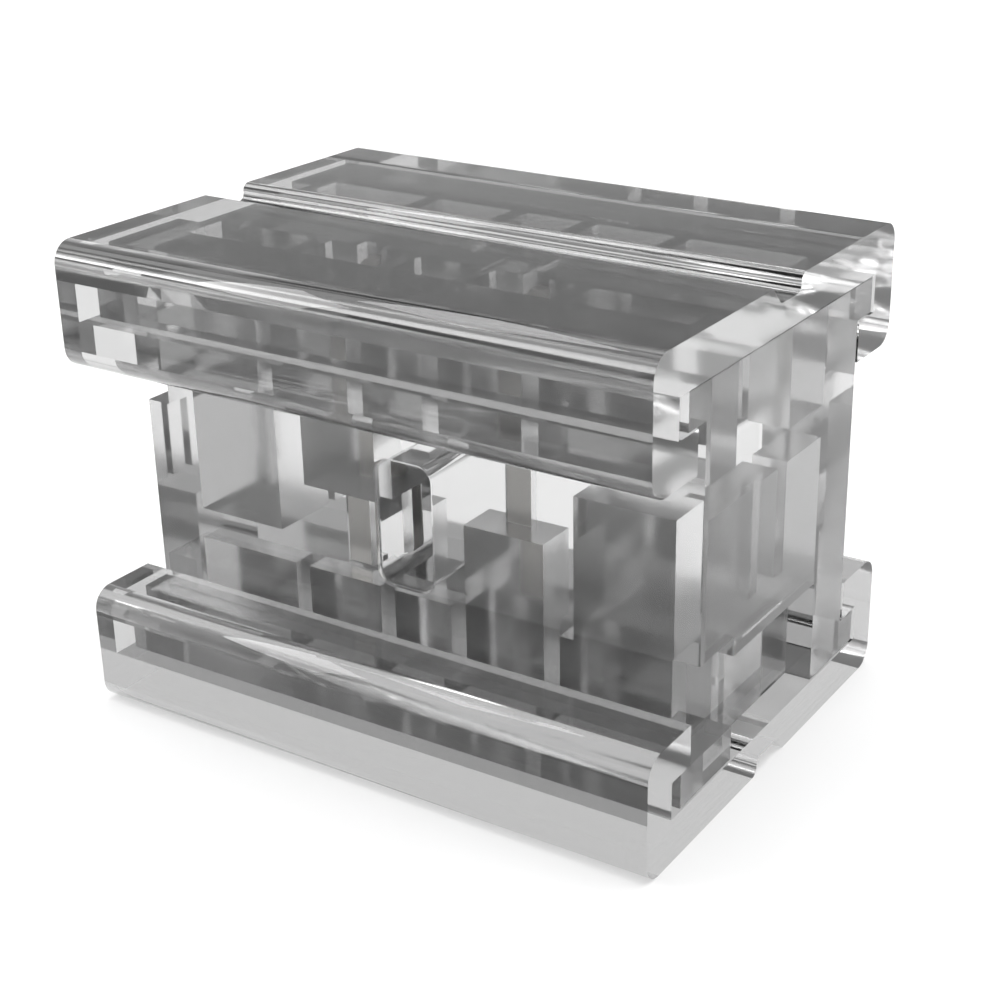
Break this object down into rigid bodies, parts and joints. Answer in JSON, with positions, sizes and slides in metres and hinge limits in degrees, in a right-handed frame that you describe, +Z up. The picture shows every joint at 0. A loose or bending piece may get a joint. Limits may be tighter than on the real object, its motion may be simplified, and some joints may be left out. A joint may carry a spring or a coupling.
{
  "type": "power connector",
  "caption": "Clear moulded power connector: a rail-topped housing with a through slot and contact blades, closed above and below by grooved slide-on covers.",
  "frame": {"origin": "centre of the footprint, on the plane that the lower cover's two flat pads stand on", "axes": "+X along the rails and covers, -Y the front with the through slot, +Z up to the upper cover"},
  "size_m": [0.0264, 0.02, 0.0201],
  "materials": {
    "clear_plastic": "clear, polished",
    "contact_metal": "tin plated, satin"
  },
  "bodies": {
    "housing": {"housing": "clear_plastic", "contact_left": "contact_metal", "contact_right": "contact_metal"},
    "top_cover": {"top_cover": "clear_plastic"},
    "bottom_cover": {"bottom_cover": "clear_plastic"}
  },
  "joints": [
    {"name": "top_cover_slide", "type": "slide", "parent": "housing", "child": "top_cover", "axis": [1, 0, 0], "range_m": [-0.02, 0.02]},
    {"name": "bottom_cover_slide", "type": "slide", "parent": "housing", "child": "bottom_cover", "axis": [1, 0, 0], "range_m": [-0.02, 0.02]}
  ]
}
